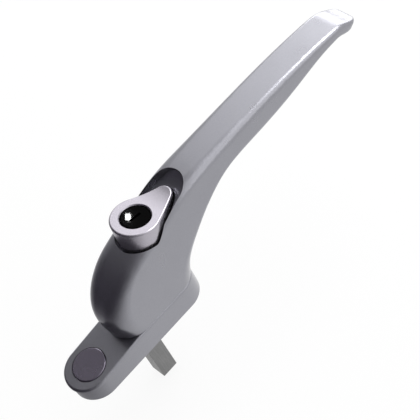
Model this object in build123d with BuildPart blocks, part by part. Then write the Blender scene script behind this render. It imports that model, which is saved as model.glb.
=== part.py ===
from build123d import *

from math import cos, dist, radians, sin, sqrt, tan

# Locking window handle: a swan-neck lever that turns on a low base, with a keyed push button in the
# lever's shoulder and a square spindle behind. Sizes are in millimetres and angles in degrees.
# The origin is on the spindle axis at the base's mounting face. +Z points out of the window and
# +Y runs along the arm to its tip.

# Base plate
base_width = 19.4
base_height = 10.7
base_lower_end = 33.0  # spindle axis to the end with the screw cap
base_upper_end = 28.7  # spindle axis to the end under the lever's heel
fall_start = 4.0  # the top falls away from here, in front of the spindle axis
fall_angle = 5.5
base_edge_round = 1.0
nose_lip = 0.9  # the top overhangs the lower end by this much
lip_depth = 1.3  # height of the overhanging edge, its round included
parting_edge = 0.3  # chamfer round the hub's underside, where lever and base meet
core_wall = 1.9  # rim round the hollow underside
core_depth = 3.0

# Fixing screws and the cap over the lower one
screw_spacing = 43.0
screw_hole_d = 5.3
screw_head_d = 8.6
screw_seat_z = 4.2
screw_boss_d = 9.4
cap_d = 13.4
cap_gap = 0.22
cap_sink = 1.4  # depth of the recess that the cap lies in
cap_proud = 0.35
cap_edge_round = 0.45
cap_peg_d = 4.0
cap_peg_length = 1.6

# Turning joint between base and lever
running_gap = 0.05
boss_d = 12.6
boss_foot_z = 0.5
bush_wall = 1.0
bush_flange_d = 16.8
bush_flange_thick = 0.6
hub_gap = 0.2  # the hub's underside stands this far over the base
clip_recess_d = 16.6
clip_recess_depth = 4.0
washer_thick = 0.6
washer_gap = 0.2
washer_wall = 1.6
disc_thick = 0.5
clip_thick = 0.9
clip_groove_d = 11.2
groove_lip = 0.5  # rim of the boss under the clip
clip_wall = 1.9
clip_opening = 5.0
clip_hole_d = 1.0
stack_gap = 0.1  # play between the washers

# Spindle
spindle_width = 7.0
spindle_below = 28.0  # length that stands out of the mounting face
spindle_top = 13.9
spindle_chamfer = 0.7
spindle_corner_round = 0.35
socket_gap = 0.04
pin_d = 2.0
pin_z = 7.2
pin_end_gap = 0.15
pin_chamfer = 0.2

# Lever
reach = 134.0  # spindle axis to the tip
arm_top = 50.2
arm_under = 38.6
arm_width = 15.4
shoulder_front = 52.0  # where the neck ends and the arm begins, on top
shoulder_back = 63.0  # the same, on the underside
tip_width = 13.4
tip_top = 41.7
tip_under = 39.5
tip_slant = 3.6  # the tip's underside ends this far short of its top
tip_fall = 30.0  # slope of the last of the top
tip_rise = 20.5  # slope of the last of the underside
tip_corner = 4.2  # corner radius in plan
tip_steps = (0.9, 0.4, 0.15, 0.03)  # sections of the rounded corner, as shares of its radius
tip_shares = (0.364, 0.321)  # front and back corner radius, as shares of the section's depth
tip_round = 1.0  # radius of the end in side view
corner_flat = 0.3  # flat left between the corners of the hub's round ends

# Sections of the neck on the way up from the hub, in columns: front run, front rise, back run, back
# rise, width, front corner radius, back corner radius. Runs are shares of the way from the hub's end to
# the shoulder, rises are shares of the height from the hub's underside to the arm's top or underside,
# widths are shares of the base's width, and radii are shares of half the section's width.
neck_rows = [
    (-0.013, 0.168, 0.058, 0.220, 1.000, 0.918, 0.887),
    (0.008, 0.359, 0.160, 0.430, 1.000, 0.804, 0.763),
    (0.083, 0.542, 0.289, 0.588, 0.990, 0.708, 0.667),
    (0.212, 0.692, 0.420, 0.729, 0.974, 0.614, 0.571),
    (0.441, 0.827, 0.577, 0.856, 0.943, 0.678, 0.503),
    (0.708, 0.957, 0.773, 0.957, 0.892, 0.624, 0.462),
]
# Sections of the arm, in columns: front run, back run, drop of the top, thickness, width, front corner
# radius, back corner radius. Runs are shares of the way from the shoulder to the tip, drops are shares
# of the arm's fall to the tip, thickness and width are shares of the arm's own, and radii are shares of
# the section's depth.
arm_rows = [
    (0.000, 0.000, 0.024, 0.983, 1.052, 0.265, 0.215),
    (0.269, 0.201, 0.000, 1.000, 1.000, 0.270, 0.253),
    (0.562, 0.506, 0.071, 0.810, 0.968, 0.265, 0.275),
    (0.764, 0.744, 0.212, 0.509, 0.942, 0.361, 0.361),
    (0.862, 0.841, 0.335, 0.397, 0.922, 0.370, 0.358),
    (0.899, 0.882, 0.424, 0.353, 0.905, 0.370, 0.350),
]

# Lock: its axis leans toward the tip and meets the button's face at the key plug
lock_y = 21.5
lock_drop = 1.3  # the button's face lies this far under the arm's top
lock_lean = 12.5
press_travel = 3.0
button_d = 19.2
button_tip_d = 8.0
button_tip_offset = 12.7
button_draft = 7.5
button_skirt = 13.5
button_blank = 4.0  # the head is cut from a blank that stands this far over its face
button_edge_round = 0.7
ramp_start = 6.3  # the thumb ramp leaves the button's flat face here, along the drop
ramp_radius = 29.0
ramp_turn = 30.0
stem_d = 12.6
stem_foot = 19.0
well_gap = 0.8
stop_gap = 0.4
dish_d = 17.6
dish_end_d = 14.8
dish_end_offset = 14.4
dish_lip_run = 24.5  # side view of the dish: runs from the lock toward the tip
dish_bend_run = 19.3
dish_floor_run = 12.0
dish_front_run = -10.5
dish_lip_over = 1.4  # its lip is over the arm's top, the rest is under it
dish_bend_under = 3.8
dish_floor_under = 6.8
dish_front_under = 12.2

# Key cylinder
plug_face_d = 11.5
plug_face_sink = 0.3
plug_face_thick = 2.7
plug_edge = 0.5
mouth_edge = 0.35  # chamfer round the mouth of the plug's bore
plug_d = 9.0
plug_foot = 13.4
keyway_width = 1.0
keyway_height = 4.8
keyway_depth = 11.0
wafer_count = 4
wafer_first = 4.6
wafer_pitch = 1.6
wafer_thick = 0.6
wafer_width = 3.2
wafer_height = 7.6
wafer_window_width = 1.6
wafer_window_height = 5.2
wafer_gap = 0.05
snap_depth = 11.6
snap_thick = 0.7
snap_wall = 0.9
snap_opening = 2.4
cam_thick = 1.5
cam_width = 3.2
cam_length = 8.4

# Bolt, its guide and its spring
bolt_d = 4.4
bolt_head = 15.7
bolt_lift = 0.62  # the bolt's foot rests this far inside the hub's underside
bolt_flange_d = 6.8
bolt_flange_thick = 1.45
bolt_chamfer = 0.5
bolt_hole_gap = 0.4
bolt_hole_depth = 4.0
land_top = 22.4  # the solid land that guides the bolt's shank, between stem bore and spring chamber
land_thick = 3.6
chamber_d = 8.3
guide_thick = 3.0
guide_lift = 1.42  # the guide's foot sits this far inside the hub's underside
cross_pin_d = 1.6
cross_pin_depth = 17.4
spring_wire_d = 0.7
spring_wire_sides = 6
spring_mean_d = 6.0
spring_pitch = 1.26

# Derived places
hub_z = base_height + hub_gap
lock_z = arm_top - lock_drop
nose_y = -base_width / 2
heel_y = base_upper_end
base_middle = (base_upper_end - base_lower_end) / 2
base_length = base_upper_end + base_lower_end
screw_places = [(0, -screw_spacing / 2), (0, screw_spacing / 2)]
boss_r = boss_d / 2
bush_r = boss_r + running_gap + bush_wall
cap_y = base_width / 2 - base_lower_end
cap_z = base_height + (cap_y + fall_start) * tan(radians(fall_angle))
stem_r = stem_d / 2
bolt_r = bolt_d / 2
well_foot = button_skirt + press_travel + stop_gap
groove_foot = boss_foot_z + groove_lip
groove_top = groove_foot + clip_thick + stack_gap
washer_r = clip_recess_d / 2 - washer_gap
washer_top = clip_recess_depth - running_gap
disc_foot = groove_top + stack_gap / 2
disc_top = washer_top - washer_thick - stack_gap
plug_face_r = plug_face_d / 2
plug_face_foot = plug_face_sink + plug_face_thick
plug_r = plug_d / 2
plug_bore_r = plug_face_r + running_gap
snap_slot = snap_thick + stack_gap
hub_depth = (lock_z - hub_z) / cos(radians(lock_lean))  # along the lock's axis to the hub's underside
bore_end = hub_depth + chamber_d / 2
bolt_foot = hub_depth - bolt_lift
guide_foot = hub_depth - guide_lift
guide_top = guide_foot - guide_thick
chamber_top = land_top + land_thick
bolt_flange_top = chamber_top + running_gap
bolt_flange_foot = bolt_flange_top + bolt_flange_thick

lock_plane = Plane(
    origin=(0, lock_y, lock_z),
    x_dir=(1, 0, 0),
    z_dir=(0, sin(radians(lock_lean)), cos(radians(lock_lean))),
)
cap_plane = Plane(
    origin=(0, cap_y, cap_z),
    x_dir=(1, 0, 0),
    z_dir=(0, -sin(radians(fall_angle)), cos(radians(fall_angle))),
)
lock_axis = Axis(lock_plane.origin, lock_plane.z_dir)
lock_side = Plane(origin=lock_plane.origin, x_dir=lock_plane.y_dir, z_dir=(1, 0, 0))
cross_plane = Plane(
    origin=lock_plane.offset(-cross_pin_depth).origin,
    x_dir=lock_plane.z_dir,
    z_dir=(1, 0, 0),
)
above = (Align.CENTER, Align.CENTER, Align.MIN)
below = (Align.CENTER, Align.CENTER, Align.MAX)


def upright(radius, low, high, mode=Mode.ADD):
    """Round length on the spindle axis, between two heights."""
    with Locations((0, 0, low)):
        Cylinder(radius, high - low, align=above, mode=mode)


def along_lock(radius, top, foot, mode=Mode.ADD):
    """Round length on the lock's axis, between two depths below the button's face."""
    with Locations(lock_plane.offset(-top)):
        Cylinder(radius, foot - top, align=below, mode=mode)


def cross_bore(half_length):
    """Hole across the lock's axis for the bolt pin."""
    with BuildSketch(cross_plane) as bore:
        Circle(cross_pin_d / 2 + socket_gap / 2)
    extrude(bore.sketch, amount=half_length, both=True, mode=Mode.SUBTRACT)


def drop_outline(depth, large_r, small_r, offset):
    """Drop shape across the lock's axis: a large and a small circle in one hull."""
    with BuildSketch(lock_plane.offset(-depth)) as drop:
        Circle(large_r)
        with Locations((0, offset)):
            Circle(small_r)
        make_hull()
    return drop.sketch


def drafted_drop(top, foot, margin, mode=Mode.ADD):
    """Drop-shaped length whose walls close in by the button's draft on the way down."""
    outlines = []
    for depth in (top, foot):
        grow = margin - depth * tan(radians(button_draft))
        radii = (button_d / 2 + grow, button_tip_d / 2 + grow)
        outlines.append(drop_outline(depth, *radii, button_tip_offset))
    loft(outlines, ruled=True, mode=mode)


def quarter_inset(radius, run):
    """How far a rounded corner lies inside its square one, at a run from its end."""
    return radius - sqrt(radius**2 - (radius - run) ** 2)


def toward(start, end, length):
    """Point on the way from one (y, z) point to another, at a length from the first."""
    share = length / dist(start, end)
    return (start[0] + share * (end[0] - start[0]), start[1] + share * (end[1] - start[1]))


def lever_station(front, back, width, front_round, back_round):
    """Section across the lever, from a point of its front to a point of its back, given as (y, z)."""
    front_point = Vector(0, *front)
    back_point = Vector(0, *back)
    across = back_point - front_point
    plane = Plane(
        origin=(front_point + back_point) * 0.5,
        x_dir=(1, 0, 0),
        z_dir=Vector(1, 0, 0).cross(across),
    )
    with BuildSketch(plane) as station:
        Rectangle(width, across.length)
        fillet(station.vertices().group_by(Axis.Y)[0], front_round)
        fillet(station.vertices().group_by(Axis.Y)[-1], back_round)
    return station.sketch


# Top layer of the base: longer than the plate under it, so that its lower end overhangs
fall_end = -fall_start - base_length
fall_end_z = base_height - base_length * tan(radians(fall_angle))
with BuildPart() as top_layer:
    with BuildSketch():
        with Locations((0, base_middle - nose_lip / 2)):
            SlotOverall(base_length + nose_lip, base_width, rotation=90)
    extrude(amount=base_height)
    with BuildSketch(Plane.YZ):
        with BuildLine():
            Polyline(
                (-fall_start, base_height),
                (fall_end, base_height),
                (fall_end, fall_end_z - lip_depth),
                (-fall_start, base_height - lip_depth),
                close=True,
            )
        make_face()
    extrude(amount=base_width, both=True, mode=Mode.INTERSECT)

# Base plate: a round-ended plate whose top falls away in front of the hub
with BuildPart() as base_plate:
    with BuildSketch():
        with Locations((0, base_middle)):
            SlotOverall(base_length, base_width, rotation=90)
    extrude(amount=base_height)
    add(top_layer.part)
    with BuildSketch(Plane.YZ):
        with BuildLine():
            fall_points = [(-fall_start, base_height), (fall_end, base_height), (fall_end, fall_end_z)]
            Polyline(*fall_points, close=True)
        make_face()
    extrude(amount=base_width, both=True, mode=Mode.SUBTRACT)
    fall_face = base_plate.faces().sort_by(Axis.Z)[-2]
    fall_rim = fall_face.edges().filter_by(lambda edge: edge.center().Y < -fall_start - parting_edge)
    fillet(fall_rim, base_edge_round)

    # Recess for the cap, screw holes and the hollow underside
    with Locations(cap_plane):
        Cylinder(cap_d / 2 + cap_gap, 2 * cap_sink, mode=Mode.SUBTRACT)
    with Locations((0, 0, base_height)):
        with Locations(*screw_places):
            CounterBoreHole(screw_hole_d / 2, screw_head_d / 2, base_height - screw_seat_z)
    with BuildSketch():
        with Locations((0, base_middle)):
            SlotOverall(base_length - 2 * core_wall, base_width - 2 * core_wall, rotation=90)
        Circle(clip_recess_d / 2 + core_wall, mode=Mode.SUBTRACT)
        with Locations(*screw_places):
            Circle(screw_boss_d / 2, mode=Mode.SUBTRACT)
    extrude(amount=core_depth, mode=Mode.SUBTRACT)

    # Bore for the bush, recess for the clip, and the hole that the lock bolt drops into
    upright(bush_r, 0, base_height, Mode.SUBTRACT)
    upright(bush_flange_d / 2 + running_gap, hub_z - running_gap - bush_flange_thick, hub_z, Mode.SUBTRACT)
    upright(clip_recess_d / 2, 0, clip_recess_depth, Mode.SUBTRACT)
    along_lock(bolt_r + bolt_hole_gap, bolt_foot, bolt_foot + bolt_hole_depth, Mode.SUBTRACT)
base_plate.part.label = "base_plate"
export_step(base_plate.part, "parts/base_plate.step")

# Screw cap: a shallow button with a peg that reaches into the screw's recess
with BuildPart() as screw_cap:
    with Locations(cap_plane.offset(-cap_sink)):
        Cylinder(cap_d / 2, cap_sink + cap_proud, align=above)
        Cylinder(cap_peg_d / 2, cap_peg_length, align=below)
    fillet(screw_cap.edges().group_by(Axis.Z)[-1], cap_edge_round)
screw_cap.part.label = "screw_cap"
export_step(screw_cap.part, "parts/screw_cap.step")

# Hub bush: flanged bearing pressed into the base
with BuildPart() as hub_bush:
    upright(bush_r, clip_recess_depth, hub_z - running_gap)
    upright(bush_flange_d / 2, hub_z - running_gap - bush_flange_thick, hub_z - running_gap)
    upright(boss_r + running_gap, 0, hub_z, Mode.SUBTRACT)
hub_bush.part.label = "hub_bush"
export_step(hub_bush.part, "parts/hub_bush.step")

# Lever: hub, neck and arm in one casting, carried through stations that fan from level to upright
with BuildPart() as pocket_dish:
    dish_outline = drop_outline(button_skirt, dish_d / 2, dish_end_d / 2, dish_end_offset)
    extrude(dish_outline, amount=2 * button_skirt)
    dish_lip = (lock_y + dish_lip_run, arm_top + dish_lip_over)
    dish_bend = (lock_y + dish_bend_run, arm_top - dish_bend_under)
    dish_floor = (lock_y + dish_floor_run, arm_top - dish_floor_under)
    dish_front = (lock_y + dish_front_run, arm_top - dish_front_under)
    with BuildSketch(Plane.YZ):
        with BuildLine():
            ramp = ThreePointArc(dish_lip, dish_bend, dish_floor)
            Polyline(ramp @ 1, dish_front, (dish_front[0], reach), (dish_lip[0], reach), ramp @ 0)
        make_face()
    extrude(amount=base_width, both=True, mode=Mode.INTERSECT)

hub_round = base_width / 2 - corner_flat
lever_stations = [lever_station((nose_y, hub_z), (heel_y, hub_z), base_width, hub_round, hub_round)]
for front_run, front_rise, back_run, back_rise, share, front_share, back_share in neck_rows:
    front_y = nose_y + front_run * (shoulder_front - nose_y)
    back_y = heel_y + back_run * (shoulder_back - heel_y)
    front = (front_y, hub_z + front_rise * (arm_top - hub_z))
    back = (back_y, hub_z + back_rise * (arm_under - hub_z))
    width = share * base_width
    rounds = (front_share * width / 2, back_share * width / 2)
    lever_stations.append(lever_station(front, back, width, *rounds))
for front_run, back_run, drop, thick, share, front_share, back_share in arm_rows:
    front_y = shoulder_front + front_run * (reach - shoulder_front)
    back_y = shoulder_back + back_run * (reach - tip_slant - shoulder_back)
    front = (front_y, arm_top - drop * (arm_top - tip_top))
    back = (back_y, front[1] - thick * (arm_top - arm_under))
    depth = dist(front, back)
    rounds = (front_share * depth, back_share * depth)
    lever_stations.append(lever_station(front, back, share * arm_width, *rounds))
for step in tip_steps:
    run = (step - tip_steps[-1]) * tip_corner
    narrowing = 2 * quarter_inset(tip_corner, step * tip_corner)
    thinning = quarter_inset(tip_round, min(run, tip_round))
    top = (reach - run, tip_top + run * tan(radians(tip_fall)))
    under = (reach - tip_slant - run, tip_under + run * tan(radians(tip_rise)))
    front = toward(top, under, thinning)
    back = toward(under, top, thinning)
    depth = dist(front, back)
    rounds = (tip_shares[0] * depth, tip_shares[1] * depth)
    lever_stations.append(lever_station(front, back, tip_width - narrowing, *rounds))
with BuildPart() as lever:
    loft(lever_stations)
    chamfer(lever.faces().sort_by(Axis.Z)[0].edges(), parting_edge)

    # Boss that turns in the bush, with its clip groove, square socket and pin hole
    upright(boss_r, boss_foot_z, hub_z + boss_r)
    upright(boss_r, groove_foot, groove_top, Mode.SUBTRACT)
    upright(clip_groove_d / 2, boss_foot_z, hub_z)
    with Locations((0, 0, boss_foot_z)):
        socket_width = spindle_width + 2 * socket_gap
        socket_depth = spindle_top + socket_gap - boss_foot_z
        Box(socket_width, socket_width, socket_depth, align=above, mode=Mode.SUBTRACT)
    with BuildSketch(Plane.YZ):
        with Locations((0, pin_z)):
            Circle(pin_d / 2 + socket_gap / 2)
    extrude(amount=boss_r, both=True, mode=Mode.SUBTRACT)

    # Dished pocket, button well, stem bore, bolt land and spring chamber
    add(pocket_dish.part, mode=Mode.SUBTRACT)
    drafted_drop(-button_skirt, well_foot, well_gap, Mode.SUBTRACT)
    along_lock(stem_r + running_gap, 0, land_top, Mode.SUBTRACT)
    along_lock(bolt_r + running_gap, 0, bore_end, Mode.SUBTRACT)
    along_lock(chamber_d / 2, chamber_top, bore_end, Mode.SUBTRACT)
lever.part.label = "lever"
export_step(lever.part, "parts/lever.step")

# Spindle: square bar with eased corners and a chamfered end
with BuildPart() as spindle:
    with Locations((0, 0, -spindle_below)):
        Box(spindle_width, spindle_width, spindle_below + spindle_top, align=above)
    chamfer(spindle.edges().group_by(Axis.Z)[0], spindle_chamfer)
    fillet(spindle.edges().filter_by(Axis.Z), spindle_corner_round)
    with BuildSketch(Plane.YZ):
        with Locations((0, pin_z)):
            Circle(pin_d / 2 + socket_gap / 2)
    extrude(amount=spindle_width, both=True, mode=Mode.SUBTRACT)
spindle.part.label = "spindle"
export_step(spindle.part, "parts/spindle.step")

# Spindle pin: crosses the boss and the spindle inside the bush
with BuildPart() as spindle_pin:
    with BuildSketch(Plane.YZ):
        with Locations((0, pin_z)):
            Circle(pin_d / 2)
    extrude(amount=boss_r - pin_end_gap, both=True)
    chamfer(spindle_pin.edges().filter_by(GeomType.CIRCLE), pin_chamfer)
spindle_pin.part.label = "spindle_pin"
export_step(spindle_pin.part, "parts/spindle_pin.step")

# Thrust washer: flat ring against the base, under the bush
with BuildPart() as thrust_washer:
    upright(washer_r, washer_top - washer_thick, washer_top)
    upright(washer_r - washer_wall, 0, washer_top, Mode.SUBTRACT)
thrust_washer.part.label = "thrust_washer"
export_step(thrust_washer.part, "parts/thrust_washer.step")

# Disc spring: shallow cone between the washer and the clip
with BuildPart() as disc_spring:
    with BuildSketch(Plane.XZ):
        with BuildLine():
            Polyline(
                (washer_r - washer_wall, disc_foot),
                (washer_r, disc_top - disc_thick),
                (washer_r, disc_top),
                (washer_r - washer_wall, disc_foot + disc_thick),
                close=True,
            )
        make_face()
    revolve(axis=Axis.Z)
disc_spring.part.label = "disc_spring"
export_step(disc_spring.part, "parts/disc_spring.step")

# Circlip: open ring with two eyes, in the groove of the boss
with BuildPart() as circlip:
    clip_r = clip_groove_d / 2 + running_gap
    eye_r = clip_wall / 2
    eye_y = sqrt((clip_r + eye_r) ** 2 - (clip_opening / 2 + eye_r) ** 2)
    with BuildSketch(Plane.XY.offset(groove_foot + stack_gap / 2)):
        Circle(clip_r + clip_wall)
        Circle(clip_r, mode=Mode.SUBTRACT)
        with Locations((0, clip_r)):
            Rectangle(clip_opening, 2 * clip_r, mode=Mode.SUBTRACT)
        with Locations((-clip_opening / 2 - eye_r, eye_y), (clip_opening / 2 + eye_r, eye_y)):
            Circle(clip_hole_d / 2, mode=Mode.SUBTRACT)
    extrude(amount=clip_thick)
circlip.part.label = "circlip"
export_step(circlip.part, "parts/circlip.step")

# Lock button: drop-shaped head with a thumb ramp, a stem, and the bore for the key plug
with BuildPart() as lock_button:
    drafted_drop(-button_blank, button_skirt, 0)
    with BuildSketch(lock_side):
        with BuildLine():
            flat = Line((-button_d, 0), (ramp_start, 0))
            ramp = JernArc(flat @ 1, flat % 1, ramp_radius, ramp_turn)
            Polyline(ramp @ 1, (ramp.position_at(1).X, button_d), (-button_d, button_d), flat @ 0)
        make_face()
    extrude(amount=button_d, both=True, mode=Mode.SUBTRACT)
    face_rim = lock_button.faces().sort_by(lock_axis)[-2:].edges().filter_by(Axis.X, reverse=True)
    fillet(face_rim, button_edge_round)
    along_lock(stem_r, button_skirt, stem_foot)
    along_lock(plug_bore_r, 0, plug_face_foot + running_gap, Mode.SUBTRACT)
    with Locations(lock_plane):
        Cone(plug_bore_r, plug_bore_r + mouth_edge, mouth_edge, align=below, mode=Mode.SUBTRACT)
    along_lock(plug_r + running_gap, 0, bolt_head, Mode.SUBTRACT)
    along_lock(plug_r + snap_wall / 2 + running_gap, snap_depth, snap_depth + snap_slot, Mode.SUBTRACT)
    along_lock(bolt_r + socket_gap / 2, bolt_head, stem_foot, Mode.SUBTRACT)
    cross_bore(stem_r)
lock_button.part.label = "lock_button"
export_step(lock_button.part, "parts/lock_button.step")

# Key plug: dark face and barrel with keyway, wafer slots and snap-ring groove
with BuildPart() as key_plug:
    along_lock(plug_face_r, plug_face_sink, plug_face_foot)
    chamfer(key_plug.edges().group_by(lock_axis)[-1], plug_edge)
    along_lock(plug_r, plug_face_foot, plug_foot)
    along_lock(plug_r, snap_depth, snap_depth + snap_slot, Mode.SUBTRACT)
    along_lock(plug_r - snap_wall / 2, plug_face_foot, plug_foot)
    with BuildSketch(lock_plane):
        Rectangle(keyway_width, keyway_height)
    extrude(amount=-keyway_depth, mode=Mode.SUBTRACT)
    for index in range(wafer_count):
        with BuildSketch(lock_plane.offset(-wafer_first - index * wafer_pitch + wafer_gap)):
            Rectangle(wafer_width + 2 * wafer_gap, wafer_height + 2 * wafer_gap)
        extrude(amount=-wafer_thick - 2 * wafer_gap, mode=Mode.SUBTRACT)
key_plug.part.label = "key_plug"
export_step(key_plug.part, "parts/key_plug.step")

# Wafers: flat tumblers with a window for the key, one node of separate plates
with BuildPart() as wafers:
    for index in range(wafer_count):
        with BuildSketch(lock_plane.offset(-wafer_first - index * wafer_pitch)):
            Rectangle(wafer_width, wafer_height)
            Rectangle(wafer_window_width, wafer_window_height, mode=Mode.SUBTRACT)
        extrude(amount=-wafer_thick)
wafers.part.label = "wafers"
export_step(wafers.part, "parts/wafers.step")

# Plug clip: open snap ring between the key plug and the button
with BuildPart() as plug_clip:
    with BuildSketch(lock_plane.offset(-snap_depth - stack_gap / 2)):
        Circle(plug_r + snap_wall / 2)
        Circle(plug_r - snap_wall / 2 + running_gap, mode=Mode.SUBTRACT)
        with Locations((0, plug_r)):
            Rectangle(snap_opening, 2 * plug_r, mode=Mode.SUBTRACT)
    extrude(amount=-snap_thick)
plug_clip.part.label = "plug_clip"
export_step(plug_clip.part, "parts/plug_clip.step")

# Lock cam: round-ended tail on the foot of the key plug
with BuildPart() as lock_cam:
    with BuildSketch(lock_plane.offset(-plug_foot)):
        SlotOverall(cam_length, cam_width)
    extrude(amount=-cam_thick)
lock_cam.part.label = "lock_cam"
export_step(lock_cam.part, "parts/lock_cam.step")

# Lock bolt: stepped pin from the button's stem to just above the base
with BuildPart() as lock_bolt:
    along_lock(bolt_r, bolt_head + stack_gap, bolt_foot)
    chamfer(lock_bolt.edges().group_by(lock_axis)[0], bolt_chamfer)
    along_lock(bolt_flange_d / 2, bolt_flange_top, bolt_flange_foot)
    cross_bore(stem_r)
lock_bolt.part.label = "lock_bolt"
export_step(lock_bolt.part, "parts/lock_bolt.step")

# Bolt pin: crosses the stem and the bolt
with BuildPart() as bolt_pin:
    with BuildSketch(cross_plane):
        Circle(cross_pin_d / 2)
    extrude(amount=stem_r - pin_end_gap, both=True)
    chamfer(bolt_pin.edges().filter_by(GeomType.CIRCLE), pin_chamfer)
bolt_pin.part.label = "bolt_pin"
export_step(bolt_pin.part, "parts/bolt_pin.step")

# Bolt guide: ring in the hub's underside that the spring stands on
with BuildPart() as bolt_guide:
    along_lock(chamber_d / 2 - socket_gap / 2, guide_top, guide_top + guide_thick)
    along_lock(bolt_r + running_gap, guide_top, guide_top + guide_thick, Mode.SUBTRACT)
bolt_guide.part.label = "bolt_guide"
export_step(bolt_guide.part, "parts/bolt_guide.step")

# Lock spring: coil round the bolt, from the guide up to the flange
with BuildPart() as lock_spring:
    coil_foot = lock_plane.offset(-guide_top + spring_wire_d / 2)
    coil_height = guide_top - bolt_flange_foot - spring_wire_d
    with BuildLine():
        coil = Helix(
            spring_pitch,
            coil_height,
            spring_mean_d / 2,
            center=coil_foot.origin,
            direction=coil_foot.z_dir,
        )
    with BuildSketch(Plane(origin=coil @ 0, z_dir=coil % 0)):
        RegularPolygon(spring_wire_d / 2, spring_wire_sides)
    sweep(path=coil, is_frenet=True)
lock_spring.part.label = "lock_spring"
export_step(lock_spring.part, "parts/lock_spring.step")
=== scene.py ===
"""Finishes, lock spring and stage of a locking window handle, laid out as a Blender add-on."""

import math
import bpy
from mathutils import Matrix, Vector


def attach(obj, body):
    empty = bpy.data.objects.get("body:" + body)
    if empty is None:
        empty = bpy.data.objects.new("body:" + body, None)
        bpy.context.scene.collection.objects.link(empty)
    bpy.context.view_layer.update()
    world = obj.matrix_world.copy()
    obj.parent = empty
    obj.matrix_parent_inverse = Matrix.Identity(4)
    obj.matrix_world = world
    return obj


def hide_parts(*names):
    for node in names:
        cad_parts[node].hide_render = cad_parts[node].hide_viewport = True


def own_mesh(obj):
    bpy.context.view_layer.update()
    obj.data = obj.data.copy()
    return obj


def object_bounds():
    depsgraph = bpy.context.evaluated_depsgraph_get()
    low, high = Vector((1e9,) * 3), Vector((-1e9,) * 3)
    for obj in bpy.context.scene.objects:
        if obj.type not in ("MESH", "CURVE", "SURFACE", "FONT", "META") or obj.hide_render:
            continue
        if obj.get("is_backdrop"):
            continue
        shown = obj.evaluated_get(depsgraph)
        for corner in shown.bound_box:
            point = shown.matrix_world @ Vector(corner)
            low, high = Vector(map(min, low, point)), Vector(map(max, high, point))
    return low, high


bl_info = {
    "name": "Window Handle Finishes",
    "version": (1, 0, 0),
    "blender": (4, 5, 0),
    "location": "View3D > Sidebar > Handle",
    "description": "Coat, lock and steel finishes for a locking window handle, with its spring and stage",
    "category": "Object",
}

import bpy
import numpy as np
from bpy.props import FloatProperty, FloatVectorProperty, PointerProperty
from mathutils import Matrix, Vector

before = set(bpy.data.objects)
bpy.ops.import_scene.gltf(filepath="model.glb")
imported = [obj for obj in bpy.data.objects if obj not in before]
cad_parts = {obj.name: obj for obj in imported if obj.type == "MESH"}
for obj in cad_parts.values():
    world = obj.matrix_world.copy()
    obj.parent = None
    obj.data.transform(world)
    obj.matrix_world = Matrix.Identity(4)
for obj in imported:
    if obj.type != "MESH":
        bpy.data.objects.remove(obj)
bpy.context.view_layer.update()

CASTINGS = ("lever", "base_plate")
STEEL_NODES = (
    "spindle_pin",
    "thrust_washer",
    "disc_spring",
    "circlip",
    "lock_bolt",
    "bolt_pin",
    "plug_clip",
)
NYLON_NODES = ("hub_bush", "bolt_guide")
BRASS_NODES = ("wafers", "lock_cam")

# Smooth shading: decimals of a metre to which corners at one place agree, and the least length divided by
PLACE_DIGITS = 7
TINY = 1e-20

# Sprayed coats: share of metal, roughness and weight of the clear layer
CASTING_COAT = (0.95, 0.31, 0.5)
BUTTON_COAT = (0.95, 0.25, 0.2)
CAP_COAT = (0.9, 0.26, 0.4)
CLEAR_ROUGHNESS = 0.05

# Plain surfaces: share of metal and roughness
PLATED_STEEL = (0.9, 0.35)
SPRING_STEEL = (0.9, 0.3)
MOULDED_NYLON = (0.0, 0.5)
ROLLED_BRASS = (1.0, 0.35)

# Part of a noise's range over which a shade or a gloss goes from one end to the other
NARROW_BAND = (0.35, 0.65)
WIDE_BAND = (0.3, 0.7)

# Share by which a texture darkens and lightens a colour
FLAKE_SHADE = 0.04
PLUG_SHADE = 0.3
STREAK_SHADE = 0.10
MOULDED_SHADE = 0.08
CARD_SHADE = 0.2

# Share by which a texture lowers and raises a roughness, or the two ends of the roughness
COAT_CHANGE = 0.15
MOULDED_CHANGE = 0.2
PLUG_ROUGHNESS = (0.015, 0.025)
STEEL_ROUGHNESS = (0.30, 0.50)

# Grain of the textures: the coat's as shares of its ripple, the rest in metres
FLAKE_SHARE = 0.25
CLOUD_SHARE = 9.0
PLUG_GRAIN = 0.0006
PLUG_GLOSS_GRAIN = 0.002
STREAK_GRAIN = 0.0005
STREAK_STRETCH = (1.0, 1.0, 0.06)
SPECK_GRAIN = 0.0007
MOULDED_CLOUD = 0.004
MOULDED_GRAIN = 0.0004
FLOOR_CLOUD = 0.3
CARD_CLOUD = 0.2

# Fine relief: depth in metres and strength
PEEL_BUMP = (0.00002, 0.35)
STREAK_BUMP = (0.00003, 0.4)
GRAIN_BUMP = (0.00002, 0.3)

# Single values of the finishes
PLUG_SPECULAR = 0.015
SPINDLE_METAL = 0.9
FLOOR_PALE = ((0.93, 0.93, 0.93), (0.95, 0.95, 0.95))
FLOOR_ROUGHNESS = 0.8
FLOOR_SPECULAR = 0.1
CARD_ROUGHNESS = 0.9

# White light, and the strength at which it shows as plain white
WHITE = (1.0, 1.0, 1.0, 1.0)
WHITE_STRENGTH = 1.0

# Lock spring: a coil on the lock's axis, between two depths under the button's face, in metres
LOCK_FACE = (0.0, 0.0215, 0.0489)
LOCK_LEAN = math.radians(12.5)
LOCK_AXIS = (0.0, math.sin(LOCK_LEAN), math.cos(LOCK_LEAN))
SPRING_TOP_DEPTH = 0.0275
SPRING_FOOT_DEPTH = 0.0345
SPRING_RADIUS = 0.003
SPRING_WIRE = 0.00034
SPRING_END_GAP = 0.00001
SPRING_TURNS = 5

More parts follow.
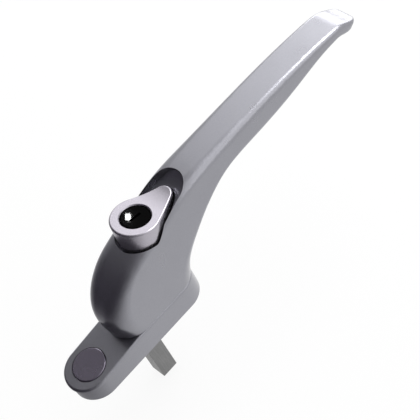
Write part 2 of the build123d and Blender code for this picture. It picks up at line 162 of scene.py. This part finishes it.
# Lamps: place, point that it faces, width and height, in metres
LAMPS = {
    "key": ((0.60, 0.50, 0.80), (0.0, 0.50, 0.045), (0.90, 1.10)),
    "rim": ((-0.45, 0.74, 0.20), (0.0, 0.128, 0.044), (0.70, 0.44)),
    "edge": ((-0.03, 0.75, 0.85), (0.07, 0.75, 0.045), (0.64, 0.76)),
    "top": ((-0.42, 0.44, 0.53), (0.0, 0.06, 0.05), (0.50, 0.50)),
    "spark": ((-0.2783, 0.2488, 0.3205), (-0.002, 0.020, 0.049), (0.0032, 0.004)),
}

# Lamps with a round outline
ROUND_LAMPS = ("edge",)

# Lamps that light one node only
LIT_ALONE = {"spark": "key_plug"}

# Dark card: part of a dome about a middle point, dark up to one angle from its axis and gone at another
CARD_MIDDLE = (0.0, 0.0, 0.03)
CARD_RADIUS = 0.4
CARD_FLOOR_GAP = 0.001
CARD_AXIS = (-0.27, -0.93, 0.30)
CARD_FULL = math.radians(28.0)
CARD_END = math.radians(123.0)

# Least downward slope of a line from the card's middle to the floor, and the attribute for the card's fade
LEAST_FALL = 1e-6
FADE = "fade"

# Camera: width of the sensor in millimetres, nearest and farthest distance in metres
SENSOR_WIDTH = 36.0
CLIP_START = 0.01
CLIP_END = 50.0


def colour_prop(name, description, default):
    """A colour setting in linear light."""
    return FloatVectorProperty(
        name=name,
        description=description,
        default=default,
        size=3,
        min=0.0,
        max=1.0,
        subtype="COLOR",
    )


def place_prop(name, description, default):
    """A place in the handle's frame, in metres."""
    return FloatVectorProperty(
        name=name,
        description=description,
        default=default,
        size=3,
        subtype="TRANSLATION",
        unit="LENGTH",
    )


def length_prop(name, description, default):
    """A length in metres."""
    return FloatProperty(name=name, description=description, default=default, unit="LENGTH")


def angle_prop(name, description, degrees):
    """An angle, given in degrees and kept in radians."""
    return FloatProperty(
        name=name,
        description=description,
        default=math.radians(degrees),
        subtype="ANGLE",
        unit="ROTATION",
    )


def power_prop(name, description, default):
    """A lamp's power in watts."""
    return FloatProperty(name=name, description=description, default=default, unit="POWER")


class HandleFinishes(bpy.types.PropertyGroup):
    """Colours and textures of the handle's surfaces."""

    coat: colour_prop("Silver coat", "Colour of the lever and base", (0.285, 0.285, 0.315))
    button: colour_prop("Button", "Colour of the push button", (0.42, 0.40, 0.445))
    cap: colour_prop("Screw cap", "Colour of the cap over the screw", (0.21, 0.19, 0.24))
    plug: colour_prop("Key plug", "Colour of the key plug's face", (0.001, 0.001, 0.001))
    steel: colour_prop("Steel", "Colour of the spindle and the inner steel pieces", (0.22, 0.22, 0.22))
    nylon: colour_prop("Nylon", "Colour of the bush and bolt guide", (0.70, 0.68, 0.62))
    brass: colour_prop("Brass", "Colour of the wafers and cam", (0.60, 0.42, 0.16))
    peel: length_prop("Orange peel", "Size of the coat's faint ripple", 0.0012)
    smooth_angle: angle_prop(
        "Smooth angle", "Faces that meet at less than this angle shade as one surface", 32.0
    )


class HandleStage(bpy.types.PropertyGroup):
    """Camera, lamps, card and floor."""

    eye: place_prop("Camera place", "Where the camera stands", (0.319992, -0.088242, 0.448642))
    target: place_prop("Camera target", "Point at the middle of the picture", (0.0, 0.047590, 0.019530))
    roll: angle_prop("Camera roll", "Turn of the camera about its line of sight", -28.582)
    lens: FloatProperty(
        name="Lens",
        description="Focal length for a 36 mm sensor",
        default=128.571,
        subtype="DISTANCE_CAMERA",
    )
    floor_drop: length_prop("Floor drop", "Height of the floor below the handle's lowest point", 0.0005)
    floor_reach: length_prop("Floor reach", "Radius of the floor", 4.0)
    sky: FloatProperty(
        name="Sky light",
        description="Strength of the even light from all sides",
        default=0.5,
    )
    key_power: power_prop("Key lamp", "Power of the large soft lamp on the right", 2.1)
    rim_power: power_prop("Rim lamp", "Power of the low lamp behind the tip", 2.5)
    edge_power: power_prop(
        "Edge lamp", "Power of the lamp that draws the bright line along the arm", 6.6
    )
    top_power: power_prop(
        "Top lamp", "Power of the soft lamp that the arm's top and the button's face mirror", 0.67
    )
    spark_power: power_prop(
        "Spark lamp", "Power of the small lamp that mirrors in the key plug", 0.04
    )
    floor_white: FloatProperty(
        name="Floor white",
        description="Share of plain white in the floor, where the camera or a mirror sees it",
        default=0.9,
        min=0.0,
        max=1.0,
        subtype="FACTOR",
    )
    card: colour_prop(
        "Dark card", "Colour of the card that the front of the hub mirrors", (0.045, 0.037, 0.056)
    )


def smooth_corners(obj, angle):
    """Shades a CAD node's loose triangles as smooth surfaces and leaves its points alone.

    Corners at one place form a group. A corner's normal is the sum of the normals of the faces in its group
    that lie within the angle of its own face, each weighted by its area times its corner angle.
    """
    mesh = obj.data
    corner_count = len(mesh.loops)
    points = np.empty(len(mesh.vertices) * 3, np.float32)
    mesh.vertices.foreach_get("co", points)
    corner_vertex = np.empty(corner_count, np.int32)
    mesh.loops.foreach_get("vertex_index", corner_vertex)
    corners = points.reshape(-1, 3)[corner_vertex].astype(float)
    triangles = corners.reshape(-1, 3, 3)
    ahead = np.roll(triangles, -1, axis=1) - triangles
    behind = np.roll(triangles, 1, axis=1) - triangles
    crossed = np.cross(ahead[:, 0], behind[:, 0])
    area = np.linalg.norm(crossed, axis=1)
    face_normal = crossed / np.maximum(area, TINY)[:, None]
    lengths = np.linalg.norm(ahead, axis=2) * np.linalg.norm(behind, axis=2)
    cosine = (ahead * behind).sum(2) / np.maximum(lengths, TINY)
    weight = (np.arccos(np.clip(cosine, -1, 1)) * area[:, None]).ravel()
    normal = np.repeat(face_normal, 3, axis=0)
    rounded = np.round(corners, PLACE_DIGITS)
    _, place, count = np.unique(rounded, axis=0, return_inverse=True, return_counts=True)
    place = place.ravel()
    order = np.argsort(place, kind="stable")
    rank = np.arange(corner_count) - np.repeat(np.cumsum(count) - count, count)
    group = np.full((len(count), count.max()), -1)
    group[place[order], rank] = order
    summed = np.zeros((corner_count, 3))
    for column in range(group.shape[1]):
        other = group[place, column]
        near = (other >= 0) & ((normal * normal[other]).sum(1) > math.cos(angle))
        summed += np.where(near[:, None], normal[other] * weight[other][:, None], 0)
    length = np.linalg.norm(summed, axis=1)
    result = np.where(length[:, None] > TINY, summed / np.maximum(length, TINY)[:, None], normal)
    mesh.polygons.foreach_set("use_smooth", np.ones(len(mesh.polygons), bool))
    mesh.normals_split_custom_set(result.tolist())
    mesh.update()


def start_material(name):
    """New node material: its tree, its shader and the Object coordinates."""
    material = bpy.data.materials.new(name)
    material.use_nodes = True
    tree = material.node_tree
    shader = tree.nodes["Principled BSDF"]
    coordinates = tree.nodes.new("ShaderNodeTexCoord")
    return material, tree, shader, coordinates.outputs["Object"]


def noise(tree, place, grain, detail=3.0, stretch=(1.0, 1.0, 1.0)):
    """Noise with features of about the given size in metres, drawn out where the stretch is under 1."""
    mapping = tree.nodes.new("ShaderNodeMapping")
    mapping.inputs["Scale"].default_value = stretch
    tree.links.new(place, mapping.inputs["Vector"])
    texture = tree.nodes.new("ShaderNodeTexNoise")
    texture.inputs["Scale"].default_value = 1.0 / grain
    texture.inputs["Detail"].default_value = detail
    tree.links.new(mapping.outputs["Vector"], texture.inputs["Vector"])
    return texture.outputs["Fac"]


def ramp(tree, factor, band, dark, light):
    """Colour that goes from dark to light while the factor goes through the band."""
    node = tree.nodes.new("ShaderNodeValToRGB")
    for element, position, colour in zip(node.color_ramp.elements, band, (dark, light)):
        element.position = position
        element.color = (*colour, 1.0)
    tree.links.new(factor, node.inputs["Fac"])
    return node.outputs["Color"]


def tint(tree, shader, factor, band, colour, share):
    """Base colour that goes with the factor from a slightly darker to a slightly lighter shade."""
    dark = [channel * (1.0 - share) for channel in colour]
    light = [min(1.0, channel * (1.0 + share)) for channel in colour]
    tree.links.new(ramp(tree, factor, band, dark, light), shader.inputs["Base Color"])


def vary_gloss(tree, shader, factor, low, high):
    """Roughness that goes from low to high while the factor goes through the wide band."""
    node = tree.nodes.new("ShaderNodeMapRange")
    node.inputs["From Min"].default_value, node.inputs["From Max"].default_value = WIDE_BAND
    node.inputs["To Min"].default_value = low
    node.inputs["To Max"].default_value = high
    tree.links.new(factor, node.inputs["Value"])
    tree.links.new(node.outputs["Result"], shader.inputs["Roughness"])


def add_bump(tree, shader, height, depth, strength):
    """Fine relief of the given depth in metres."""
    bump = tree.nodes.new("ShaderNodeBump")
    bump.inputs["Distance"].default_value = depth
    bump.inputs["Strength"].default_value = strength
    tree.links.new(height, bump.inputs["Height"])
    tree.links.new(bump.outputs["Normal"], shader.inputs["Normal"])


def mix_shaders(tree, factor, first, second, output):
    """Sends to an output node the first shader where the factor is 0 and the second where it is 1."""
    mix = tree.nodes.new("ShaderNodeMixShader")
    tree.links.new(factor, mix.inputs[0])
    tree.links.new(first.outputs[0], mix.inputs[1])
    tree.links.new(second.outputs[0], mix.inputs[2])
    tree.links.new(mix.outputs[0], output.inputs["Surface"])


def seen_or_mirrored(tree):
    """1 where the camera looks straight at a surface or sees it in a mirror or through glass, else 0."""
    rays = tree.nodes.new("ShaderNodeLightPath")
    seen = rays.outputs["Is Camera Ray"]
    for kind in ("Is Glossy Ray", "Is Transmission Ray"):
        either = tree.nodes.new("ShaderNodeMath")
        either.operation = "MAXIMUM"
        tree.links.new(seen, either.inputs[0])
        tree.links.new(rays.outputs[kind], either.inputs[1])
        seen = either.outputs[0]
    return seen


def coat_material(name, colour, peel, metal, roughness, clear_layer):
    """Sprayed metallic coat: fine flake in the colour, a faint ripple, and a clear layer on top."""
    material, tree, shader, place = start_material(name)
    flake = noise(tree, place, peel * FLAKE_SHARE, detail=4.0)
    tint(tree, shader, flake, NARROW_BAND, colour, FLAKE_SHADE)
    cloud = noise(tree, place, peel * CLOUD_SHARE)
    vary_gloss(tree, shader, cloud, roughness * (1 - COAT_CHANGE), roughness * (1 + COAT_CHANGE))
    add_bump(tree, shader, noise(tree, place, peel, detail=1.0), *PEEL_BUMP)
    shader.inputs["Metallic"].default_value = metal
    shader.inputs["Coat Weight"].default_value = clear_layer
    shader.inputs["Coat Roughness"].default_value = CLEAR_ROUGHNESS
    return material


def plug_material(colour):
    """Polished black face with small changes in its shade and gloss."""
    material, tree, shader, place = start_material("plug_black_gloss")
    tint(tree, shader, noise(tree, place, PLUG_GRAIN), NARROW_BAND, colour, PLUG_SHADE)
    vary_gloss(tree, shader, noise(tree, place, PLUG_GLOSS_GRAIN), *PLUG_ROUGHNESS)
    shader.inputs["Specular IOR Level"].default_value = PLUG_SPECULAR
    return material


def steel_material(name, colour):
    """Drawn bar: streaks along Z in colour and relief, with fine specks in its gloss."""
    material, tree, shader, place = start_material(name)
    streak = noise(tree, place, STREAK_GRAIN, detail=4.0, stretch=STREAK_STRETCH)
    tint(tree, shader, streak, WIDE_BAND, colour, STREAK_SHADE)
    vary_gloss(tree, shader, noise(tree, place, SPECK_GRAIN, detail=5.0), *STEEL_ROUGHNESS)
    add_bump(tree, shader, streak, *STREAK_BUMP)
    shader.inputs["Metallic"].default_value = SPINDLE_METAL
    return material


def moulded_material(name, colour, metal, roughness):
    """Plain moulded or rolled surface with slow changes of shade and a fine grain."""
    material, tree, shader, place = start_material(name)
    tint(tree, shader, noise(tree, place, MOULDED_CLOUD), NARROW_BAND, colour, MOULDED_SHADE)
    grain = noise(tree, place, MOULDED_GRAIN)
    vary_gloss(tree, shader, grain, roughness * (1 - MOULDED_CHANGE), roughness * (1 + MOULDED_CHANGE))
    add_bump(tree, shader, grain, *GRAIN_BUMP)
    shader.inputs["Metallic"].default_value = metal
    return material


def floor_material(white_share):
    """Pale matt floor, part plain white where it is looked at, so that the shadow stays faint."""
    material, tree, shader, place = start_material("pale_floor")
    pale = ramp(tree, noise(tree, place, FLOOR_CLOUD), WIDE_BAND, *FLOOR_PALE)
    tree.links.new(pale, shader.inputs["Base Color"])
    shader.inputs["Roughness"].default_value = FLOOR_ROUGHNESS
    shader.inputs["Specular IOR Level"].default_value = FLOOR_SPECULAR
    glow = tree.nodes.new("ShaderNodeEmission")
    glow.inputs["Color"].default_value = WHITE
    glow.inputs["Strength"].default_value = WHITE_STRENGTH
    share = tree.nodes.new("ShaderNodeMath")
    share.operation = "MULTIPLY"
    share.inputs[1].default_value = white_share
    tree.links.new(seen_or_mirrored(tree), share.inputs[0])
    mix_shaders(tree, share.outputs[0], shader, glow, tree.nodes["Material Output"])
    return material


def card_material(colour):
    """Dark card that turns clear where its fade falls to 0."""
    material, tree, shader, place = start_material("dark_card")
    tint(tree, shader, noise(tree, place, CARD_CLOUD), WIDE_BAND, colour, CARD_SHADE)
    shader.inputs["Roughness"].default_value = CARD_ROUGHNESS
    clear = tree.nodes.new("ShaderNodeBsdfTransparent")
    fade = tree.nodes.new("ShaderNodeAttribute")
    fade.attribute_name = FADE
    mix_shaders(tree, fade.outputs["Fac"], clear, shader, tree.nodes["Material Output"])
    return material


def dress(names, material, angle):
    """Gives CAD nodes a finish and smooth shading."""
    for name in names:
        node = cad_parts[name]
        node.data.materials.clear()
        node.data.materials.append(material)
        smooth_corners(node, angle)


def mesh_object(name, points, faces):
    """Object at the origin from points and faces."""
    mesh = bpy.data.meshes.new(name)
    mesh.from_pydata(np.asarray(points).tolist(), [], faces)
    mesh.polygons.foreach_set("use_smooth", np.ones(len(mesh.polygons), bool))
    mesh.update()
    obj = bpy.data.objects.new(name, mesh)
    bpy.context.scene.collection.objects.link(obj)
    return obj


def polar_grid(rings, sides):
    """Share of the way out and share of a turn for each point of a grid of rings, without its middle."""
    return np.meshgrid(np.linspace(0, 1, rings + 1)[1:], np.arange(sides) / sides, indexing="ij")


def polar_faces(rings, sides):
    """Faces of a grid of rings: quads from ring to ring, and a fan from its middle, the last point."""
    index = np.arange(rings * sides).reshape(rings, sides)
    after = np.roll(index, -1, axis=1)
    quads = np.stack([index[:-1], index[1:], after[1:], after[:-1]], axis=2).reshape(-1, 4)
    fan = np.stack([np.full(sides, rings * sides), index[0], after[0]], axis=1)
    return quads.tolist() + fan.tolist()


def disc_grid(radius, height, rings=12, sides=96):
    """Level disc: x = r cos t, y = r sin t, where r is the radius times the square of a share from 0 to 1,
    so that the rings lie closer together near the middle.
    """
    reach, turn = polar_grid(rings, sides)
    x = radius * reach**2 * np.cos(2 * np.pi * turn)
    y = radius * reach**2 * np.sin(2 * np.pi * turn)
    points = np.stack([x, y, np.full_like(x, height)], axis=2).reshape(-1, 3)
    points = np.vstack([points, [[0, 0, height]]])
    return points, polar_faces(rings, sides)


def dome_card(middle, radius, floor_z, toward, full, end, rings=40, sides=72):
    """Part of a dome about a middle point: p = middle + t d, with d at an angle a from the toward direction
    and at a spin s about it, d = cos a w + sin a (cos s u + sin s v), and t the radius or, where the floor
    is nearer, the way to the floor.

    The fade is 1 up to the full angle and falls smoothly to 0 at the end angle.
    """
    axis = np.array(toward) / np.linalg.norm(toward)
    side = np.cross(axis, (0.0, 0.0, 1.0))
    side /= np.linalg.norm(side)
    other = np.cross(axis, side)
    angle, spin = polar_grid(rings, sides)
    lean = end * angle.ravel()[:, None]
    turn = (2 * np.pi * spin.ravel())[:, None]
    ways = np.cos(lean) * axis + np.sin(lean) * (np.cos(turn) * side + np.sin(turn) * other)
    ways = np.vstack([ways, axis])
    down = np.maximum(-ways[:, 2], LEAST_FALL)
    reach = np.minimum(radius, (middle[2] - floor_z) / down)
    points = np.array(middle) + reach[:, None] * ways
    fall = np.clip((np.append(lean, 0.0) - full) / (end - full), 0, 1)
    fade = 1 - fall * fall * (3 - 2 * fall)
    return points, polar_faces(rings, sides), fade


def coil_surface(foot, axis, radius, wire, rise, turns, steps_per_turn=32, sides=12):
    """Round wire along a coil: p = c + w (cos s e + sin s b), where c = foot + rise t a + radius e,
    e = cos q u + sin q v with q = 2 pi turns t, and b is across both e and the wire's direction.
    """
    up = np.array(axis)
    across = np.array((1.0, 0.0, 0.0))
    third = np.cross(up, across)
    along = np.linspace(0, 1, steps_per_turn * turns + 1)[:, None]
    turn = 2 * np.pi * turns * along
    outward = np.cos(turn) * across + np.sin(turn) * third
    middle = np.array(foot) + rise * along * up + radius * outward
    ahead = rise * up + 2 * np.pi * turns * radius * (np.cos(turn) * third - np.sin(turn) * across)
    beside = np.cross(ahead / np.linalg.norm(ahead, axis=1, keepdims=True), outward)
    spin = (2 * np.pi * np.arange(sides) / sides)[None, :, None]
    ring = np.cos(spin) * outward[:, None] + np.sin(spin) * beside[:, None]
    points = np.vstack([(middle[:, None] + wire * ring).reshape(-1, 3), middle[:1], middle[-1:]])
    index = np.arange(len(along) * sides).reshape(-1, sides)
    after = np.roll(index, -1, axis=1)
    quads = np.stack([index[:-1], after[:-1], after[1:], index[1:]], axis=2).reshape(-1, 4)
    start = np.full(sides, index.size)
    start_fan = np.stack([start, after[0], index[0]], axis=1)
    end_fan = np.stack([start + 1, index[-1], after[-1]], axis=1)
    return points, quads.tolist() + start_fan.tolist() + end_fan.tolist()


def look_at(eye, target, roll=0.0):
    """Matrix of a camera or lamp that looks from eye to target, then turns about its line of sight."""
    ahead = (Vector(target) - Vector(eye)).normalized()
    level = ahead.cross(Vector((0, 0, 1))).normalized()
    upright = level.cross(ahead)
    right = level * math.cos(roll) + upright * math.sin(roll)
    up = upright * math.cos(roll) - level * math.sin(roll)
    turn = Matrix((right, up, -ahead)).transposed().to_4x4()
    return Matrix.Translation(eye) @ turn


def soft_lamp(name, place, target, size, power, shape):
    """Area lamp of a given width, height and outline that faces a point."""
    lamp = bpy.data.lights.new(name, "AREA")
    lamp.shape = shape
    lamp.size, lamp.size_y = size
    lamp.energy = power
    obj = bpy.data.objects.new(name, lamp)
    obj.matrix_world = look_at(place, target)
    bpy.context.scene.collection.objects.link(obj)
    return obj


def add_floor(stage, floor_z):
    """Pale floor under the handle."""
    floor = mesh_object("floor", *disc_grid(stage.floor_reach, floor_z))
    floor.data.materials.append(floor_material(stage.floor_white))
    floor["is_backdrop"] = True


def add_card(stage, floor_z):
    """Dark card about the front of the handle, which shows only in mirrors."""
    card_floor = floor_z + CARD_FLOOR_GAP
    points, faces, fade = dome_card(
        CARD_MIDDLE, CARD_RADIUS, card_floor, CARD_AXIS, CARD_FULL, CARD_END
    )
    card = mesh_object("front_card", points, faces)
    card.data.attributes.new(FADE, "FLOAT", "POINT").data.foreach_set("value", fade)
    card.data.materials.append(card_material(stage.card))
    card.visible_camera = False
    card.visible_diffuse = False
    card.visible_shadow = False
    card.visible_transmission = False
    card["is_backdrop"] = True


def add_lamps(stage):
    """Soft lamps, and the collections of nodes that some of them light alone."""
    for name, (place, target, size) in LAMPS.items():
        shape = "ELLIPSE" if name in ROUND_LAMPS else "RECTANGLE"
        power = getattr(stage, name + "_power")
        lamp = soft_lamp(name + "_lamp", place, target, size, power, shape)
        if name in LIT_ALONE:
            lit = bpy.data.collections.new(name + "_receivers")
            lit.objects.link(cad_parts[LIT_ALONE[name]])
            lamp.light_linking.receiver_collection = lit


def sky_light(tree, strength):
    """White light of one strength from all sides."""
    light = tree.nodes.new("ShaderNodeBackground")
    light.inputs["Color"].default_value = WHITE
    light.inputs["Strength"].default_value = strength
    return light


def set_sky(scene, strength):
    """World that lights the handle evenly and is plain white where the camera or a mirror sees it."""
    world = bpy.data.worlds.new("sky")
    world.use_nodes = True
    scene.world = world
    tree = world.node_tree
    tree.nodes.clear()
    even = sky_light(tree, strength)
    white = sky_light(tree, WHITE_STRENGTH)
    mix_shaders(tree, seen_or_mirrored(tree), even, white, tree.nodes.new("ShaderNodeOutputWorld"))


def add_camera(scene, stage):
    """Camera at the stage's place, with the plain view of colours."""
    data = bpy.data.cameras.new("photo_camera")
    data.sensor_fit = "HORIZONTAL"
    data.sensor_width = SENSOR_WIDTH
    data.lens = stage.lens
    data.clip_start = CLIP_START
    data.clip_end = CLIP_END
    camera = bpy.data.objects.new("photo_camera", data)
    camera.matrix_world = look_at(stage.eye, stage.target, stage.roll)
    scene.collection.objects.link(camera)
    scene.camera = camera
    scene.view_settings.view_transform = "Standard"


class HANDLE_OT_finish_castings(bpy.types.Operator):
    """Coats the lever and the base"""

    bl_idname = "handle.finish_castings"
    bl_label = "Finish Castings"

    def execute(self, context):
        finish = context.scene.handle_finishes
        coat = coat_material("silver_coat", finish.coat, finish.peel, *CASTING_COAT)
        dress(CASTINGS, coat, finish.smooth_angle)
        return {"FINISHED"}


class HANDLE_OT_finish_lock(bpy.types.Operator):
    """Finishes the push button, the key plug and the screw cap"""

    bl_idname = "handle.finish_lock"
    bl_label = "Finish Lock and Cap"

    def execute(self, context):
        finish = context.scene.handle_finishes
        pale = coat_material("button_satin", finish.button, finish.peel, *BUTTON_COAT)
        dress(("lock_button",), pale, finish.smooth_angle)
        dress(("key_plug",), plug_material(finish.plug), finish.smooth_angle)
        grey = coat_material("cap_grey", finish.cap, finish.peel, *CAP_COAT)
        dress(("screw_cap",), grey, finish.smooth_angle)
        return {"FINISHED"}


class HANDLE_OT_finish_inside(bpy.types.Operator):
    """Finishes the spindle and the pieces inside"""

    bl_idname = "handle.finish_inside"
    bl_label = "Finish Spindle and Inner Pieces"

    def execute(self, context):
        finish = context.scene.handle_finishes
        angle = finish.smooth_angle
        dress(("spindle",), steel_material("drawn_steel", finish.steel), angle)
        dress(STEEL_NODES, moulded_material("plated_steel", finish.steel, *PLATED_STEEL), angle)
        dress(NYLON_NODES, moulded_material("moulded_nylon", finish.nylon, *MOULDED_NYLON), angle)
        dress(BRASS_NODES, moulded_material("rolled_brass", finish.brass, *ROLLED_BRASS), angle)
        return {"FINISHED"}


class HANDLE_OT_add_spring(bpy.types.Operator):
    """Adds the lock's coil spring, fixed to the lever at one length, in place of the CAD spring"""

    bl_idname = "handle.add_spring"
    bl_label = "Add Lock Spring"

    def execute(self, context):
        finish = context.scene.handle_finishes
        length = SPRING_FOOT_DEPTH - SPRING_TOP_DEPTH
        end = SPRING_WIRE + SPRING_END_GAP
        anchor = np.array(LOCK_FACE) - SPRING_FOOT_DEPTH * np.array(LOCK_AXIS)
        foot = anchor + end * np.array(LOCK_AXIS)
        points, faces = coil_surface(
            foot, LOCK_AXIS, SPRING_RADIUS, SPRING_WIRE, length - 2 * end, SPRING_TURNS
        )
        spring = mesh_object("coil_spring", points, faces)
        spring.data.materials.append(moulded_material("spring_steel", finish.steel, *SPRING_STEEL))
        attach(spring, "lever_body")
        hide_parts("lock_spring")
        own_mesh(spring)
        return {"FINISHED"}


class HANDLE_OT_set_stage(bpy.types.Operator):
    """Adds the floor, the dark card, the lamps, the sky and the camera"""

    bl_idname = "handle.set_stage"
    bl_label = "Set Stage"

    def execute(self, context):
        scene = context.scene
        stage = scene.handle_stage
        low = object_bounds()[0]
        floor_z = low[2] - stage.floor_drop
        add_floor(stage, floor_z)
        add_card(stage, floor_z)
        add_lamps(stage)
        set_sky(scene, stage.sky)
        add_camera(scene, stage)
        return {"FINISHED"}


STEPS = (
    HANDLE_OT_finish_castings,
    HANDLE_OT_finish_lock,
    HANDLE_OT_finish_inside,
    HANDLE_OT_add_spring,
    HANDLE_OT_set_stage,
)


class HANDLE_PT_sidebar(bpy.types.Panel):
    """Settings and steps of the handle"""

    bl_label = "Window Handle"
    bl_idname = "HANDLE_PT_sidebar"
    bl_space_type = "VIEW_3D"
    bl_region_type = "UI"
    bl_category = "Handle"

    def draw(self, context):
        layout = self.layout
        for group in (context.scene.handle_finishes, context.scene.handle_stage):
            column = layout.column()
            for key in group.__annotations__:
                column.prop(group, key)
        for step in STEPS:
            layout.operator(step.bl_idname)


CLASSES = (HandleFinishes, HandleStage, *STEPS, HANDLE_PT_sidebar)


def register():
    """Adds the classes and the scene's settings."""
    for cls in CLASSES:
        bpy.utils.register_class(cls)
    bpy.types.Scene.handle_finishes = PointerProperty(type=HandleFinishes)
    bpy.types.Scene.handle_stage = PointerProperty(type=HandleStage)


def unregister():
    """Takes them out again."""
    del bpy.types.Scene.handle_stage
    del bpy.types.Scene.handle_finishes
    for cls in reversed(CLASSES):
        bpy.utils.unregister_class(cls)


def main():
    """Registers the add-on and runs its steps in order."""
    register()
    bpy.ops.handle.finish_castings()
    bpy.ops.handle.finish_lock()
    bpy.ops.handle.finish_inside()
    bpy.ops.handle.add_spring()
    bpy.ops.handle.set_stage()


if __name__ == "__main__":
    main()
